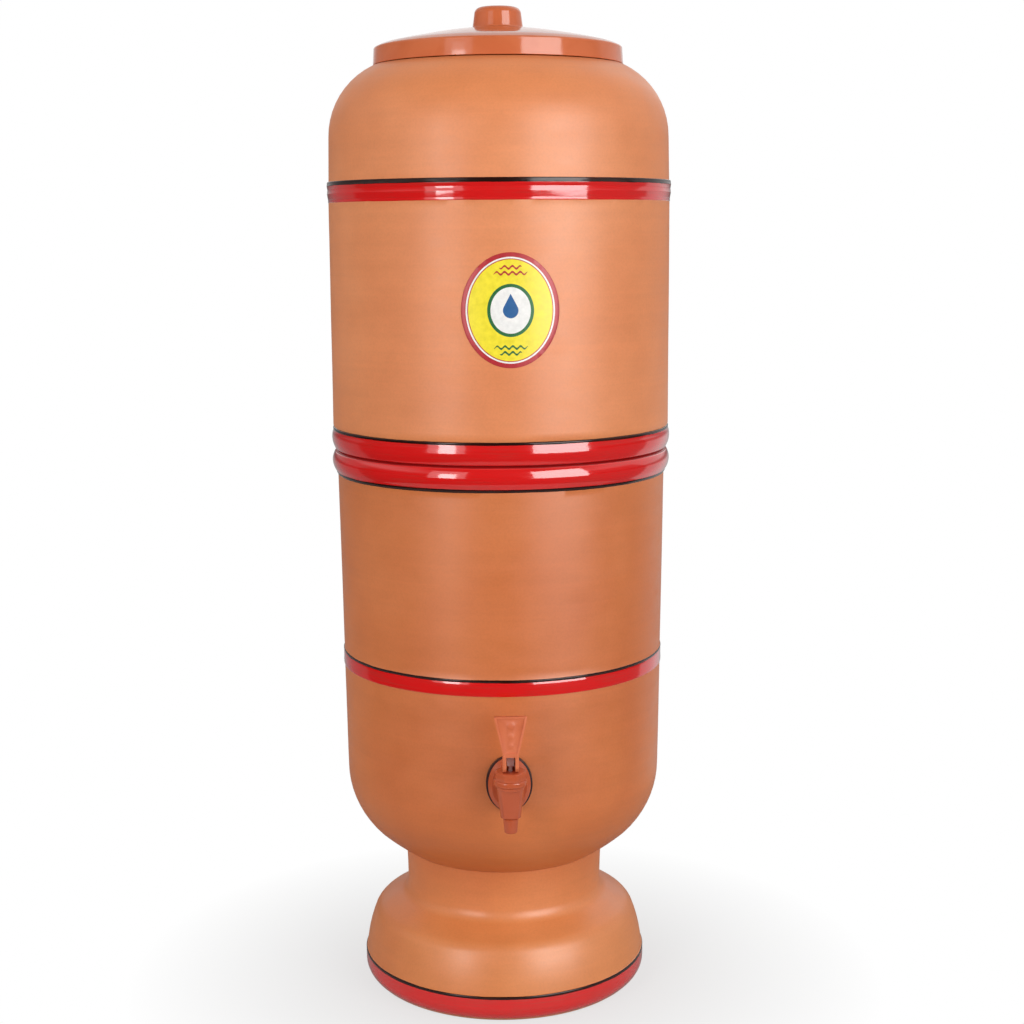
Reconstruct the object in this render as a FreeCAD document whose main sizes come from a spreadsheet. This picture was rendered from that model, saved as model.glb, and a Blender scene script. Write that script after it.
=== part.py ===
import FreeCAD, Part

import math
import os

import Sketcher

# A clay water filter on a foot: an upper vessel with two candles stands on a lower vessel with a lever
# tap. Millimetres, +Z up. The origin is on the vessels' axis, on the surface that the foot stands on,
# and the tap points along -Y.

Vector = FreeCAD.Vector
UP = Vector(0, 0, 1)
ALONG_X = Vector(1, 0, 0)
ALONG_Y = Vector(0, 1, 0)
DIAGONAL = Vector(1, 1, 1)

# How much the lower vessel widens from the top of its bowl to its band.
WALL_RISE = 1.1
# The round on the inner edge of its rim.
RIM_ROUND = 1.5

SIZES = {
    # foot and bowl of the lower vessel
    "wall": 9.0,
    "foot_radius": 88.6,
    "foot_band_top": 17.6,
    "foot_edge_height": 42.0,
    "neck_radius": 61.0,
    "neck_base_height": 61.0,
    "neck_top_height": 85.2,
    "bowl_side_height": 138.2,
    "bowl_curve": 54.2,
    "bowl_floor_height": 95.0,
    # wall of the lower vessel
    "lower_radius": 97.3,
    "lower_rim_radius": 100.1,
    "lower_band_bottom": 204.3,
    "lower_band_top": 214.2,
    "band_relief": 0.4,
    "bead_radius": 103.3,
    "bead_bottom": 323.5,
    "joint_height": 337.8,
    "bead_top": 351.4,
    # upper vessel
    "upper_radius": 102.4,
    "upper_base_height": 330.0,
    "upper_floor_height": 344.0,
    "upper_band_bottom": 485.4,
    "upper_band_top": 497.4,
    "shoulder_height": 523.4,
    "shoulder_curve": 45.7,
    "shoulder_radius": 101.4,
    "mouth_radius": 62.4,
    "mouth_height": 565.2,
    "spigot_radius": 89.0,
    # lid
    "lid_radius": 74.4,
    "lid_bottom": 565.3,
    "lid_shell": 2.1,
    "lid_ring_radius": 60.2,
    "knob_radius": 14.9,
    "lid_top": 599.6,
    # badge on the upper vessel
    "badge_width": 54.6,
    "badge_height": 63.7,
    "badge_middle": 425.0,
    "badge_thickness": 0.3,
    "badge_turn": 1.4,
    # filter candles
    "candle_offset": 42.0,
    "candle_radius": 24.5,
    "candle_shell": 6.0,
    "candle_seat_height": 354.0,
    "candle_straight_top": 430.0,
    "candle_cup_radius": 26.2,
    "thread_radius": 5.0,
    "thread_end_height": 304.0,
    "candle_hole_radius": 5.8,
    "washer_thickness": 2.0,
    "candle_nut_height": 9.0,
    "candle_nut_radius": 11.5,
    # float valves under the candles
    "valve_radius": 9.0,
    "valve_top_height": 314.0,
    "port_height": 292.0,
    "port_radius": 1.5,
    "hinge_height": 291.0,
    "hinge_reach": 12.0,
    "hinge_pin_radius": 1.0,
    "arm_half_width": 3.2,
    "float_reach": 52.0,
    "float_radius": 13.0,
    "float_depth": 18.0,
    "float_shell": 1.2,
    "float_drop": 30.0,
    # tap
    "tap_height": 153.2,
    "tap_reach": 118.7,
    "spout_bottom": 130.4,
    "spout_top": 140.0,
    "spout_radius": 4.4,
    "barrel_bottom_radius": 5.85,
    "barrel_bottom_flat": 5.0,
    "barrel_top_radius": 7.8,
    "barrel_top_flat": 5.9,
    "barrel_lip": 2.1,
    "collar_bottom": 158.8,
    "collar_top": 162.2,
    "collar_radius": 9.6,
    "chamber_radius": 4.4,
    "outlet_radius": 2.6,
    "valve_seat_height": 149.9,
    "bonnet_top": 167.0,
    "bonnet_radius": 9.35,
    "inlet_radius": 5.0,
    "flange_half_width": 12.3,
    "flange_half_height": 16.0,
    "flange_back": 100.6,
    "flange_thickness": 3.2,
    "gasket_half_width": 13.45,
    "gasket_half_height": 16.55,
    "shank_radius": 7.0,
    "shank_end": 75.0,
    "shank_hole_radius": 7.6,
    "tap_nut_radius": 13.0,
    "tap_nut_thickness": 7.0,
    "inner_gasket_thickness": 3.0,
    "rod_radius": 1.2,
    "lever_pin_height": 172.5,
    "lever_pin_radius": 0.95,
    "stem_head_width": 4.0,
    # lever
    "fork_width": 9.0,
    "slot_width": 5.1,
    "slot_top": 4.5,
    "slot_back": 2.7,
    "cam_drop": 5.35,
    "cam_start": 2.87,
    "cam_curve": 6.5,
    "blade_bottom": 5.8,
    "blade_top": 28.0,
    "blade_half_top": 9.2,
    "blade_thickness": 2.4,
    # clearances
    "thread_gap": 0.05,
    "running_gap": 0.1,
}


class Size:
    """A number and the sheet formula that gives it, so that sums of sizes stay tied to the sheet."""

    def __init__(self, value, formula):
        self.value = float(value)
        self.formula = formula

    def __add__(self, other):
        other = as_size(other)
        return Size(self.value + other.value, f"({self.formula} + {other.formula})")

    def __sub__(self, other):
        other = as_size(other)
        return Size(self.value - other.value, f"({self.formula} - {other.formula})")

    def __mul__(self, factor):
        return Size(self.value * factor, f"({self.formula} * {factor})")

    def __neg__(self):
        return self * -1


def as_size(number):
    if isinstance(number, Size):
        return number
    return Size(number, f"({float(number)})")


class Sheet:
    """The document's spreadsheet: each driving size is an attribute of the same name."""

    def __init__(self, document, sizes):
        self.cells = document.addObject("Spreadsheet::Sheet", "Sizes")
        for row, (alias, value) in enumerate(sizes.items(), start=1):
            self.cells.set(f"A{row}", alias)
            self.cells.set(f"B{row}", str(value))
            self.cells.setAlias(f"B{row}", alias)
            setattr(self, alias, Size(value, f"Sizes.{alias}"))


# ---------------------------------------------------------------- building with tied sizes


def tie(thing, **sizes):
    """Bind properties of an object to the sheet."""
    for name, size in sizes.items():
        thing.setExpression(name, as_size(size).formula)


def place(thing, x=0, y=0, z=0, axis=UP, angle=0):
    """Put an object at a tied place, turned by a fixed angle in degrees."""
    places = {"x": as_size(x), "y": as_size(y), "z": as_size(z)}
    base = Vector(*(size.value for size in places.values()))
    thing.Placement = FreeCAD.Placement(base, FreeCAD.Rotation(axis, angle))
    for name, size in places.items():
        thing.setExpression(f"Placement.Base.{name}", size.formula)
    return thing


def solid(kind, name, at=None, **sizes):
    """A Part primitive with tied sizes."""
    thing = doc.addObject(kind, name)
    tie(thing, **sizes)
    return place(thing, **(at or {}))


def boolean(kind, name, *things):
    """A Part boolean: a MultiFuse or MultiCommon of all, or a Cut of the first by the second."""
    thing = doc.addObject(kind, name)
    if kind == "Part::Cut":
        thing.Base, thing.Tool = things
    else:
        thing.Shapes = list(things)
    return thing


def new_body(name, **at):
    return place(doc.addObject("PartDesign::Body", name), **at)


def sketch_on(body, plane, offset=0):
    """A sketch on one of the body's own origin planes, moved along the plane's normal."""
    sketch = body.newObject("Sketcher::SketchObject", f"{body.Name}_sketch")
    support = next(feature for feature in body.Origin.OriginFeatures if feature.Role == plane)
    sketch.AttachmentSupport = [(support, "")]
    sketch.MapMode = "FlatFace"
    tie(sketch, **{"AttachmentOffset.Base.z": offset})
    return sketch


def hold(sketch, kind, *where, size):
    """Add a dimension to a sketch and tie it to the sheet."""
    index = sketch.addConstraint(Sketcher.Constraint(kind, *where, size.value))
    sketch.setExpression(f"Constraints[{index}]", size.formula)


def hold_point(sketch, edge, end, across, up):
    """Tie a point of a sketch to its distances from the sketch's origin."""
    if across.value == 0:
        sketch.addConstraint(Sketcher.Constraint("PointOnObject", edge, end, -2))
    else:
        hold(sketch, "DistanceX", -1, 1, edge, end, size=across)
    if up.value == 0:
        sketch.addConstraint(Sketcher.Constraint("PointOnObject", edge, end, -1))
    else:
        hold(sketch, "DistanceY", -1, 1, edge, end, size=up)


def arc_between(start, end, radius):
    """The short arc from start to end: it turns left where radius is positive, else right."""
    chord = end - start
    rise = math.sqrt(radius ** 2 - chord.Length ** 2 / 4)
    left = Vector(-chord.y, chord.x, 0).normalize()
    centre = (start + end) / 2 + left * math.copysign(rise, radius)
    first, last = (start, end) if radius > 0 else (end, start)
    from_angle = math.atan2(first.y - centre.y, first.x - centre.x)
    to_angle = math.atan2(last.y - centre.y, last.x - centre.x)
    if to_angle < from_angle:
        to_angle += 2 * math.pi
    return Part.ArcOfCircle(Part.Circle(centre, UP, abs(radius)), from_angle, to_angle)


def draw_outline(sketch, steps):
    """Draw a closed outline and tie every point.

    A step is (across, up), reached by a straight line, or (across, up, radius), reached by an arc. A
    positive radius turns left. The first step is reached from the last one.
    """
    points = [(as_size(step[0]), as_size(step[1])) for step in steps]
    ends = []
    for index, step in enumerate(steps):
        start = Vector(points[index - 1][0].value, points[index - 1][1].value, 0)
        end = Vector(points[index][0].value, points[index][1].value, 0)
        if len(step) == 2:
            edge = sketch.addGeometry(Part.LineSegment(start, end))
            ends.append((edge, 1, 2))
        else:
            radius = as_size(step[2])
            edge = sketch.addGeometry(arc_between(start, end, radius.value))
            ends.append((edge, 1, 2) if radius.value > 0 else (edge, 2, 1))
            hold(sketch, "Radius", edge, size=radius if radius.value > 0 else -radius)
    for index, (edge, start_end, finish_end) in enumerate(ends):
        before, _, before_finish = ends[index - 1]
        sketch.addConstraint(Sketcher.Constraint("Coincident", before, before_finish, edge, start_end))
        hold_point(sketch, edge, finish_end, *points[index])


def draw_circle(sketch, across, up, radius):
    across, up, radius = as_size(across), as_size(up), as_size(radius)
    circle = Part.Circle(Vector(across.value, up.value, 0), UP, radius.value)
    edge = sketch.addGeometry(circle)
    hold_point(sketch, edge, 3, across, up)
    hold(sketch, "Radius", edge, size=radius)


def turned(name, outline, **at):
    """A body turned about its own upright axis from an outline of (radius, height) steps."""
    body = new_body(name, **at)
    sketch = sketch_on(body, "XZ_Plane")
    draw_outline(sketch, outline)
    turn = body.newObject("PartDesign::Revolution", f"{name}_turn")
    turn.Profile = sketch
    turn.ReferenceAxis = (sketch, ["V_Axis"])
    turn.Angle = 360
    return body


def drawn_pad(body, plane, outline, length, both_ways=False, away=False, offset=0):
    """Raise an outline to a length: away goes against the plane's normal."""
    sketch = sketch_on(body, plane, offset)
    draw_outline(sketch, outline)
    pad = body.newObject("PartDesign::Pad", f"{body.Name}_pad")
    pad.Profile = sketch
    pad.Midplane = both_ways
    pad.Reversed = away
    tie(pad, Length=length)


def pocket(body, sketch, length, both_ways=False, along_normal=False):
    """Cut a sketch's shape out of the body, and see that it takes material away."""
    doc.recompute()
    before = body.Shape.Volume
    hollow = body.newObject("PartDesign::Pocket", f"{body.Name}_pocket")
    hollow.Profile = sketch
    hollow.Midplane = both_ways
    hollow.Reversed = along_normal
    tie(hollow, Length=length)
    doc.recompute()
    if body.Shape.Volume > before - 0.01:
        raise RuntimeError(f"{hollow.Name} cuts nothing")


# ---------------------------------------------------------------- clay vessels


def make_foot():
    """The foot is thrown on its own, hollow and open below, and luted to the bowl's flat underside."""
    inside_foot = s.foot_radius - s.wall
    inside_neck = s.neck_radius - s.wall
    turned("foot", [
        (inside_foot, 0),
        (s.foot_radius - 6.8, 0),
        (s.foot_radius, 10.0, 10.2),
        (s.foot_radius, s.foot_band_top - 0.8, 74),
        (s.foot_radius - 0.5, s.foot_band_top),
        (s.foot_radius - 6.6, s.foot_edge_height, 82),
        (s.foot_radius - 12.1, s.foot_edge_height + 5.6, 12.4),
        (s.neck_radius + 5, s.neck_base_height - 8),
        (s.neck_radius, s.neck_base_height, -8.9),
        (s.neck_radius + 0.8, s.neck_top_height, -367),
        (inside_neck, s.neck_top_height),
        (inside_neck, s.neck_base_height - 7),
        (inside_neck + 8, s.neck_base_height - 16, 9.5),
        (inside_foot - 8, s.foot_edge_height - 3.5),
        (inside_foot, s.foot_edge_height - 16, -14),
    ])


def make_lower_vessel():
    """The bowl, with a hole through its wall for the tap's shank."""
    inside_bowl = s.lower_radius - s.wall
    bowl_centre = s.lower_radius - s.bowl_curve
    low_turn = (s.bowl_curve - s.wall) * math.sqrt(0.5)
    band_radius = s.lower_radius + WALL_RISE
    body = turned("lower_vessel", [
        (0, s.neck_top_height),
        (s.neck_radius + 0.8, s.neck_top_height),
        (s.lower_radius - 15.9, s.bowl_side_height - 38.3, 140),
        (s.lower_radius, s.bowl_side_height, s.bowl_curve),
        (band_radius, s.lower_band_bottom),
        (band_radius + s.band_relief, s.lower_band_bottom + 0.5),
        (band_radius + s.band_relief + 0.1, s.lower_band_top - 0.5),
        (band_radius + 0.1, s.lower_band_top),
        (s.lower_rim_radius, s.bead_bottom),
        (s.bead_radius - 1.9, s.joint_height, 11.4),
        (s.lower_rim_radius - s.wall + RIM_ROUND, s.joint_height),
        (s.lower_rim_radius - s.wall, s.joint_height - RIM_ROUND, RIM_ROUND),
        (inside_bowl, s.bowl_side_height),
        (bowl_centre + low_turn, s.bowl_side_height - low_turn, -(s.bowl_curve - s.wall)),
        (bowl_centre + low_turn - 27.5, s.bowl_floor_height, -38.9),
        (0, s.bowl_floor_height),
    ])
    hole = sketch_on(body, "XZ_Plane")
    draw_circle(hole, 0, s.tap_height, s.shank_hole_radius)
    pocket(body, hole, s.lower_rim_radius + 20, along_normal=True)


def make_upper_vessel():
    """The upper vessel's base steps down into the lower vessel's rim."""
    inside = s.upper_radius - s.wall
    shoulder_centre = s.shoulder_radius - s.shoulder_curve
    shoulder_inside = s.shoulder_curve - s.wall - 1.2
    land_start = s.lid_radius + 1
    body = turned("upper_vessel", [
        (0, s.upper_base_height),
        (s.spigot_radius - 2, s.upper_base_height),
        (s.spigot_radius, s.upper_base_height + 2, 2),
        (s.spigot_radius, s.joint_height),
        (s.bead_radius - 2.1, s.joint_height),
        (s.bead_radius - 1.5, s.bead_top, 13.7),
        (s.upper_radius, s.bead_top + 0.8),
        (s.upper_radius, s.upper_band_bottom),
        (s.upper_radius + 0.9, s.upper_band_bottom + 0.5),
        (s.upper_radius + 0.9, s.upper_band_top - 1.0),
        (s.upper_radius - 0.1, s.upper_band_top, 1.0),
        (s.upper_radius - 0.5, s.upper_band_top + 0.5),
        (s.shoulder_radius, s.shoulder_height),
        (land_start, s.mouth_height - 0.6, s.shoulder_curve),
        (s.mouth_radius + 3.6, s.mouth_height),
        (s.mouth_radius + 0.6, s.mouth_height - 3, 3),
        (s.mouth_radius, s.mouth_height - 6.9),
        (shoulder_centre + shoulder_inside, s.shoulder_height, -shoulder_inside),
        (inside, s.shoulder_height - 24),
        (inside, s.upper_floor_height + 12),
        (inside - 12, s.upper_floor_height, -12),
        (0, s.upper_floor_height),
    ])
    holes = sketch_on(body, "XY_Plane")
    for side in (-1, 1):
        draw_circle(holes, s.candle_offset * side, 0, s.candle_hole_radius)
    pocket(body, holes, s.upper_floor_height + 5, along_normal=True)


def make_badge():
    """An oval badge that follows the round of the upper vessel."""
    inner = s.upper_radius + 0.05
    outer = inner + s.badge_thickness
    bottom = {"z": s.badge_middle - s.badge_height}
    ring = boolean(
        "Part::Cut", "badge_ring",
        solid("Part::Cylinder", "badge_outside", bottom, Radius=outer, Height=s.badge_height * 2),
        solid("Part::Cylinder", "badge_inside", bottom, Radius=inner, Height=s.badge_height * 2))
    oval = upright_oval("badge_oval", s.badge_width * 0.5, s.badge_height * 0.5,
                        -(outer + 5), s.badge_middle, 10)
    badge = boolean("Part::MultiCommon", "front_label", ring, oval)
    place(badge, axis=UP, angle=SIZES["badge_turn"])


def upright_oval(name, half_width, half_height, y, z, length):
    """A block of upright oval section, starting at y and running back."""
    turn = {"y": y, "z": z, "axis": DIAGONAL, "angle": -120}
    edge = solid("Part::Ellipse", f"{name}_edge", turn, MajorRadius=half_height, MinorRadius=half_width)
    block = doc.addObject("Part::Extrusion", name)
    block.Base = edge
    block.DirMode = "Normal"
    block.Solid = True
    tie(block, LengthFwd=length)
    return block


# ---------------------------------------------------------------- lid


def make_lid():
    """A thin moulding with its knob, and the ring below its dome that stands in the mouth."""
    knob_inside = s.knob_radius - s.lid_shell
    ring_inside = s.lid_ring_radius - 2.2
    body_top = s.lid_bottom + 21.6
    under_dome = s.lid_bottom + 12.2
    turned("lid", [
        (s.lid_radius - s.lid_shell, s.lid_bottom),
        (s.lid_radius, s.lid_bottom),
        (s.lid_radius - 0.5, s.lid_bottom + 9.2),
        (s.lid_radius - 1.4, s.lid_bottom + 10.4, 1.3),
        (s.lid_radius - 6.8, s.lid_bottom + 12.5, 24),
        (s.knob_radius + 0.8, body_top, 500),
        (s.knob_radius, body_top + 0.8, -0.9),
        (s.knob_radius - 1.0, s.lid_top - 4.2),
        (s.knob_radius - 4.4, s.lid_top - 0.6, 3.7),
        (3.0, s.lid_top - 0.2, 90),
        (2.6, s.lid_top),
        (0, s.lid_top),
        (0, s.lid_top - 2.6),
        (knob_inside - 3, s.lid_top - 2.8),
        (knob_inside - 0.6, s.lid_top - 5.4, -3),
        (knob_inside, body_top - 1.8),
        (ring_inside - 0.3, under_dome),
        (s.lid_ring_radius + 0.3, under_dome),
        (s.lid_radius - s.lid_shell - 3.4, s.lid_bottom + 9.9),
        (s.lid_radius - s.lid_shell - 0.5, s.lid_bottom + 7.6, -3.4),
    ])
    turned("lid_ring", [
        (ring_inside, s.lid_bottom - 8.3),
        (s.lid_ring_radius, s.lid_bottom - 8.3),
        (s.lid_ring_radius, under_dome),
        (ring_inside, under_dome),
    ])


# ---------------------------------------------------------------- filter candles


def make_candle(number, x):
    """A hollow ceramic candle glued into a cup whose threaded tail goes through the vessel's base."""
    name = f"candle_{number}"
    bore = s.port_radius
    shell_inside = s.candle_radius - s.candle_shell
    cup_bottom = s.upper_floor_height + s.washer_thickness
    turned(f"{name}_shell", [
        (shell_inside, s.candle_seat_height + 0.1),
        (s.candle_radius, s.candle_seat_height + 0.1),
        (s.candle_radius, s.candle_straight_top),
        (0, s.candle_straight_top + s.candle_radius, s.candle_radius),
        (0, s.candle_straight_top + shell_inside),
        (shell_inside, s.candle_straight_top, -shell_inside),
    ], x=x)
    turned(f"{name}_base", [
        (bore, s.thread_end_height),
        (s.thread_radius - 0.6, s.thread_end_height),
        (s.thread_radius, s.thread_end_height + 0.6),
        (s.thread_radius, cup_bottom),
        (s.candle_cup_radius - 6, cup_bottom),
        (s.candle_cup_radius, cup_bottom + 6, 7),
        (s.candle_cup_radius, s.candle_seat_height + 8),
        (s.candle_radius + 0.1, s.candle_seat_height + 8),
        (s.candle_radius + 0.1, s.candle_seat_height),
        (bore, s.candle_seat_height),
    ], x=x)
    turned(f"{name}_carbon", [
        (0, s.candle_seat_height + 0.1),
        (shell_inside - 0.6, s.candle_seat_height + 0.1),
        (shell_inside - 0.6, s.candle_straight_top - 10),
        (shell_inside - 4.6, s.candle_straight_top - 6, 4),
        (0, s.candle_straight_top - 6),
    ], x=x)
    turned(f"{name}_washer", [
        (s.thread_radius + 0.2, s.upper_floor_height),
        (s.thread_radius + 9, s.upper_floor_height),
        (s.thread_radius + 9, cup_bottom),
        (s.thread_radius + 0.2, cup_bottom),
    ], x=x)
    nut_bottom = s.upper_base_height - s.candle_nut_height
    boolean(
        "Part::Cut", f"{name}_nut",
        boolean("Part::MultiFuse", f"{name}_nut_blank",
                solid("Part::Prism", f"{name}_nut_hexagon", {"x": x, "z": nut_bottom},
                      Circumradius=s.candle_nut_radius, Height=s.candle_nut_height),
                solid("Part::Cylinder", f"{name}_nut_flange", {"x": x, "z": s.upper_base_height - 2.5},
                      Radius=s.candle_nut_radius + 1.5, Height=2.5)),
        solid("Part::Cylinder", f"{name}_nut_thread", {"x": x, "z": nut_bottom - 1},
              Radius=s.thread_radius + s.thread_gap, Height=s.candle_nut_height + 2))


# ---------------------------------------------------------------- float valves


def make_valve(number, x):
    """A float valve on the candle's tail: the rising float presses the seal against the port."""
    name = f"valve_{number}"
    ear_outside = s.arm_half_width + 2.4
    ear_round = 3.5
    fork_gap = 0.3
    knuckle_radius = 3.0
    pocket_floor = s.thread_end_height - 0.5
    hinge = {"x": x, "y": -s.hinge_reach, "z": s.hinge_height}
    barrel = turned(f"{name}_barrel", [
        (s.port_radius, s.port_height),
        (s.port_radius + 1.5, s.port_height),
        (s.port_radius + 1.5, s.port_height + 5),
        (s.valve_radius - 1, s.port_height + 5),
        (s.valve_radius, s.port_height + 6, 1),
        (s.valve_radius, s.valve_top_height),
        (s.thread_radius + s.thread_gap, s.valve_top_height),
        (s.thread_radius + s.thread_gap, pocket_floor),
        (s.port_radius, pocket_floor),
    ], x=x)
    ears = solid("Part::Box", f"{name}_ears",
                 {"x": x - ear_outside, "y": -(s.hinge_reach + ear_round), "z": s.hinge_height - ear_round},
                 Length=ear_outside * 2, Width=ear_round * 2, Height=16)
    fork = solid("Part::Box", f"{name}_fork",
                 {"x": x - s.arm_half_width - fork_gap, "y": -(s.hinge_reach + 5), "z": s.hinge_height - 5},
                 Length=(s.arm_half_width + fork_gap) * 2, Width=10, Height=10.5)
    hinge_hole = solid("Part::Cylinder", f"{name}_hinge_hole",
                       {"x": x - 20, "y": -s.hinge_reach, "z": s.hinge_height,
                        "axis": ALONG_Y, "angle": 90},
                       Radius=s.hinge_pin_radius + 0.02, Height=40)
    bracket = boolean("Part::Cut", f"{name}_bracket", ears, fork)
    tail = solid("Part::Cylinder", f"{name}_tail", {"x": x, "z": pocket_floor},
                 Radius=s.thread_radius + s.thread_gap, Height=30)
    holes = boolean("Part::MultiFuse", f"{name}_holes", hinge_hole, tail)
    blank = boolean("Part::MultiFuse", f"{name}_blank", barrel, bracket)
    boolean("Part::Cut", f"{name}_housing", blank, holes)
    solid("Part::Cylinder", f"{name}_pin",
          {"x": x - ear_outside, "y": -s.hinge_reach, "z": s.hinge_height, "axis": ALONG_Y, "angle": 90},
          Radius=s.hinge_pin_radius, Height=ear_outside * 2)

    # The arm, its seal and the float are drawn level, about the hinge, and hang at the drop angle.
    hanging = dict(hinge, axis=ALONG_X, angle=-SIZES["float_drop"])
    arm_under = -1.5
    arm_over = 0.5
    arm = new_body(f"{name}_arm", **hanging)
    drawn_pad(arm, "XY_Plane", [
        (-s.arm_half_width, 0),
        (s.arm_half_width, 0),
        (s.arm_half_width, s.hinge_reach - 4),
        (s.arm_half_width, s.hinge_reach + 4, 5.1),
        (s.arm_half_width, s.float_reach),
        (-s.arm_half_width, s.float_reach, 3.25),
        (-s.arm_half_width, s.hinge_reach + 4),
        (-s.arm_half_width, s.hinge_reach - 4, 5.1),
    ], arm_over - arm_under, offset=arm_under)
    knuckle = sketch_on(arm, "YZ_Plane")
    draw_circle(knuckle, 0, 0, knuckle_radius)
    barrel_pad = arm.newObject("PartDesign::Pad", f"{name}_knuckle")
    barrel_pad.Profile = knuckle
    barrel_pad.Midplane = True
    tie(barrel_pad, Length=s.arm_half_width * 2)
    bore = sketch_on(arm, "YZ_Plane")
    draw_circle(bore, 0, 0, s.hinge_pin_radius + 0.05)
    pocket(arm, bore, s.arm_half_width * 4, both_ways=True)
    stud_hole = sketch_on(arm, "XY_Plane")
    draw_circle(stud_hole, 0, s.float_reach, 1.55)
    pocket(arm, stud_hole, 20, both_ways=True)

    turned(f"{name}_seal", [
        (0, 0), (4, 0), (4, 0.4), (0, 0.4),
    ], **hung(hanging, s.hinge_reach, arm_over))
    inside = s.float_radius - s.float_shell
    low = -s.float_depth
    turned(f"{name}_float", [
        (0, low),
        (s.float_radius - 4, low),
        (s.float_radius, low + 4, 4),
        (s.float_radius, -2),
        (s.float_radius - 2, 0, 2),
        (1.5, 0),
        (1.5, 2.8),
        (0, 2.8),
        (0, -s.float_shell),
        (inside - 1.5, -s.float_shell),
        (inside, -s.float_shell - 1.5, -1.5),
        (inside, low + s.float_shell + 3),
        (inside - 3, low + s.float_shell, -3),
        (0, low + s.float_shell),
    ], **hung(hanging, s.float_reach, arm_under))


def hung(hinge, along, up):
    """The place of a piece that sits on the hanging arm, along it from the hinge and above it."""
    angle = math.radians(hinge["angle"])
    along, up = as_size(along), as_size(up)
    return dict(
        hinge,
        y=hinge["y"] + along * math.cos(angle) - up * math.sin(angle),
        z=hinge["z"] + along * math.sin(angle) + up * math.cos(angle))


# ---------------------------------------------------------------- tap


def make_tap_body():
    """Barrel with its spout, inlet, flange and threaded shank in one moulding.

    A shallow groove runs round the spout right under the barrel.
    """
    core = s.spout_radius - 0.1
    groove = 0.9
    groove_depth = 0.6
    lip_bottom = s.collar_bottom - s.barrel_lip
    spout = turned("tap_spout", [
        (s.outlet_radius, s.spout_bottom),
        (s.spout_radius - 1.4, s.spout_bottom),
        (s.spout_radius - 0.7, s.spout_bottom + 0.9, 1.0),
        (s.spout_radius, s.spout_top - groove - 0.2),
        (s.spout_radius - groove_depth, s.spout_top - groove),
        (s.spout_radius - groove_depth, s.spout_top + 1),
        (core, s.spout_top + 1),
        (core, lip_bottom),
        (s.barrel_top_radius + 0.3, lip_bottom),
        (s.barrel_top_radius + 0.5, s.collar_bottom - 0.5),
        (s.barrel_top_radius, s.collar_bottom),
        (s.collar_radius - 0.9, s.collar_bottom),
        (s.collar_radius, s.collar_bottom + 0.9, 0.9),
        (s.collar_radius, s.collar_top - 0.9),
        (s.collar_radius - 0.9, s.collar_top, 0.9),
        (s.barrel_top_radius - 0.3, s.collar_top),
        (s.barrel_top_radius - 0.3, s.collar_top + 2),
        (0, s.collar_top + 2),
        (0, s.valve_seat_height),
        (s.outlet_radius, s.valve_seat_height),
    ], y=-s.tap_reach)
    barrel = doc.addObject("Part::Loft", "tap_barrel")
    barrel.Sections = [
        barrel_section("barrel_bottom", s.spout_top, s.barrel_bottom_radius, s.barrel_bottom_flat, 3.9),
        barrel_section("barrel_top", lip_bottom, s.barrel_top_radius, s.barrel_top_flat, 5.1),
    ]
    barrel.Solid = True
    barrel.Ruled = True
    flange_front = s.flange_back + s.flange_thickness
    rim_thickness = 1.2
    flange_rim = upright_oval("flange_rim", s.flange_half_width, s.flange_half_height,
                              -(s.flange_back + rim_thickness), s.tap_height, rim_thickness)
    bevel = doc.addObject("Part::Loft", "flange_bevel")
    bevel.Sections = [
        oval_edge("bevel_back", s.flange_half_width, s.flange_half_height, s.flange_back + rim_thickness),
        oval_edge("bevel_front", s.flange_half_width - 2.2, s.flange_half_height - 2.2, flange_front),
    ]
    bevel.Solid = True
    bevel.Ruled = True
    inlet = solid("Part::Cylinder", "tap_inlet",
                  {"y": -s.tap_reach, "z": s.tap_height, "axis": ALONG_X, "angle": -90},
                  Radius=s.inlet_radius, Height=s.tap_reach - s.flange_back - 1)
    shank = solid("Part::Cylinder", "tap_shank",
                  {"y": -s.flange_back - 0.5, "z": s.tap_height, "axis": ALONG_X, "angle": -90},
                  Radius=s.shank_radius, Height=s.flange_back + 0.5 - s.shank_end)
    chamber = solid("Part::Cylinder", "tap_chamber", {"y": -s.tap_reach, "z": s.valve_seat_height},
                    Radius=s.chamber_radius, Height=20)
    outlet = solid("Part::Cylinder", "tap_outlet", {"y": -s.tap_reach, "z": s.spout_bottom - 1},
                   Radius=s.outlet_radius, Height=s.valve_seat_height - s.spout_bottom + 2)
    passage = solid("Part::Cylinder", "tap_passage",
                    {"y": -s.tap_reach, "z": s.tap_height, "axis": ALONG_X, "angle": -90},
                    Radius=3.0, Height=s.tap_reach)
    boolean("Part::Cut", "tap_body",
            boolean("Part::MultiFuse", "tap_body_blank", spout, barrel, inlet, flange_rim, bevel, shank),
            boolean("Part::MultiFuse", "tap_body_hollow", chamber, outlet, passage))


def barrel_section(name, height, radius, flat, half_chord):
    """The barrel's edge at a height: round at the back and sides, and flat towards the front."""
    sketch = place(doc.addObject("Sketcher::SketchObject", name), y=-s.tap_reach, z=height)
    beside = radius.value - half_chord
    corner = (flat.value ** 2 + beside ** 2) / (2 * beside)
    draw_outline(sketch, [
        (-half_chord, -flat, corner),
        (half_chord, -flat),
        (radius, 0, corner),
        (0, radius, radius),
        (-radius, 0, radius),
    ])
    return sketch


def oval_edge(name, half_width, half_height, reach):
    """An upright oval line, at a distance in front of the vessels' axis."""
    return solid("Part::Ellipse", name,
                 {"y": -reach, "z": s.tap_height, "axis": DIAGONAL, "angle": -120},
                 MajorRadius=half_height, MinorRadius=half_width)


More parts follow.
